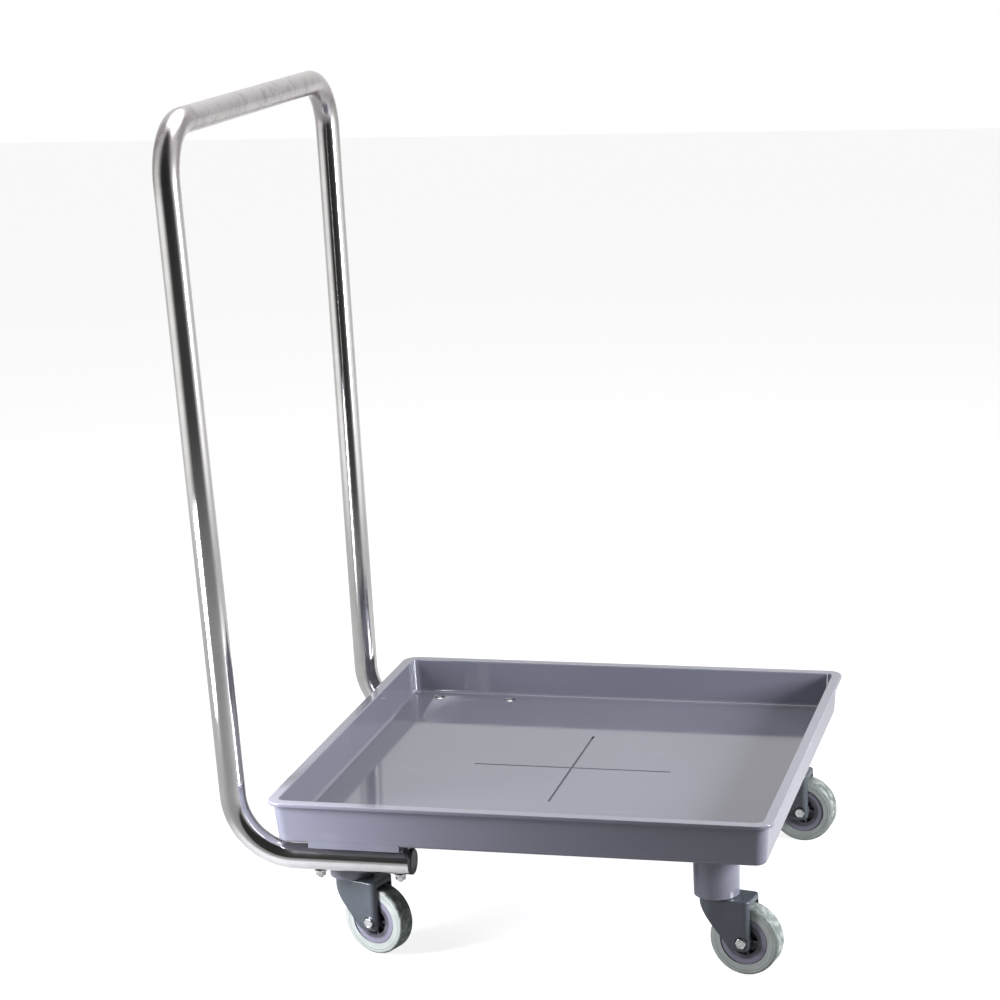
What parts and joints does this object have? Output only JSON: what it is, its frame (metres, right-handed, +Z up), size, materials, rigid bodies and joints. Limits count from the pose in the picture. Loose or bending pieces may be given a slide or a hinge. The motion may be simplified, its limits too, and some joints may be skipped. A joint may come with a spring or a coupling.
{
  "type": "glass rack dolly",
  "caption": "Square moulded tray on swivel casters with a tall tubular push handle, for carrying stacked glass racks.",
  "frame": {"origin": "on the floor, under the centre of the whole dolly with its handle", "axes": "+X the way the dolly is pushed, away from its handle; +Z up; +Y to the left"},
  "size_m": [0.618, 0.5552, 0.908],
  "materials": {
    "tray_plastic": "glossy moulded, slate grey",
    "handle_steel": "polished stainless tube",
    "cap_plastic": "black moulded",
    "fork_plastic": "satin moulded, charcoal",
    "hub_plastic": "satin moulded, grey",
    "tyre": "light grey non-marking",
    "socket_plastic": "moulded",
    "fastener_steel": "bright zinc"
  },
  "bodies": {
    "chassis": {"tray": "tray_plastic", "handle_hoop": "handle_steel", "handle_leg_right": "handle_steel", "handle_spigot_right": "handle_steel", "end_cap_right": "cap_plastic", "tray_bolts_right": "fastener_steel", "tray_washers_right": "fastener_steel", "tray_nuts_right": "fastener_steel", "handle_leg_left": "handle_steel", "handle_spigot_left": "handle_steel", "end_cap_left": "cap_plastic", "tray_bolts_left": "fastener_steel", "tray_washers_left": "fastener_steel", "tray_nuts_left": "fastener_steel", "stem_socket_front_right": "socket_plastic", "caster_stem_front_right": "fastener_steel", "stem_socket_front_left": "socket_plastic", "caster_stem_front_left": "fastener_steel", "stem_socket_rear_right": "socket_plastic", "caster_stem_rear_right": "fastener_steel", "stem_socket_rear_left": "socket_plastic", "caster_stem_rear_left": "fastener_steel"},
    "caster_front_right": {"fork_front_right": "fork_plastic", "swivel_bearing_front_right": "fastener_steel", "axle_sleeve_front_right": "fastener_steel", "axle_bolt_front_right": "fastener_steel", "axle_nut_front_right": "fastener_steel"},
    "wheel_front_right": {"wheel_hub_front_right": "hub_plastic", "tyre_front_right": "tyre"},
    "caster_front_left": {"fork_front_left": "fork_plastic", "swivel_bearing_front_left": "fastener_steel", "axle_sleeve_front_left": "fastener_steel", "axle_bolt_front_left": "fastener_steel", "axle_nut_front_left": "fastener_steel"},
    "wheel_front_left": {"wheel_hub_front_left": "hub_plastic", "tyre_front_left": "tyre"},
    "caster_rear_right": {"fork_rear_right": "fork_plastic", "swivel_bearing_rear_right": "fastener_steel", "axle_sleeve_rear_right": "fastener_steel", "axle_bolt_rear_right": "fastener_steel", "axle_nut_rear_right": "fastener_steel"},
    "wheel_rear_right": {"wheel_hub_rear_right": "hub_plastic", "tyre_rear_right": "tyre"},
    "caster_rear_left": {"fork_rear_left": "fork_plastic", "swivel_bearing_rear_left": "fastener_steel", "axle_sleeve_rear_left": "fastener_steel", "axle_bolt_rear_left": "fastener_steel", "axle_nut_rear_left": "fastener_steel"},
    "wheel_rear_left": {"wheel_hub_rear_left": "hub_plastic", "tyre_rear_left": "tyre"}
  },
  "joints": [
    {"name": "swivel_front_right", "type": "hinge", "parent": "chassis", "child": "caster_front_right", "pos_m": [0.23803, -0.199, 0.0835], "axis": [0, 0, 1], "continuous": true},
    {"name": "roll_front_right", "type": "hinge", "parent": "caster_front_right", "child": "wheel_front_right", "pos_m": [0.26993, -0.2052, 0.0375], "axis": [0.1908, 0.9816, 0], "continuous": true},
    {"name": "swivel_front_left", "type": "hinge", "parent": "chassis", "child": "caster_front_left", "pos_m": [0.23803, 0.199, 0.0835], "axis": [0, 0, 1], "continuous": true},
    {"name": "roll_front_left", "type": "hinge", "parent": "caster_front_left", "child": "wheel_front_left", "pos_m": [0.27035, 0.1956, 0.0375], "axis": [0.1045, 0.9945, 0], "continuous": true},
    {"name": "swivel_rear_right", "type": "hinge", "parent": "chassis", "child": "caster_rear_right", "pos_m": [-0.15997, -0.199, 0.0835], "axis": [0, 0, 1], "continuous": true},
    {"name": "roll_rear_right", "type": "hinge", "parent": "caster_rear_right", "child": "wheel_rear_right", "pos_m": [-0.12924, -0.20958, 0.0375], "axis": [0.3256, 0.9455, 0], "continuous": true},
    {"name": "swivel_rear_left", "type": "hinge", "parent": "chassis", "child": "caster_rear_left", "pos_m": [-0.15997, 0.199, 0.0835], "axis": [0, 0, 1], "continuous": true},
    {"name": "roll_rear_left", "type": "hinge", "parent": "caster_rear_left", "child": "wheel_rear_left", "pos_m": [-0.13051, 0.18527, 0.0375], "axis": [0.4226, 0.9063, 0], "continuous": true}
  ]
}
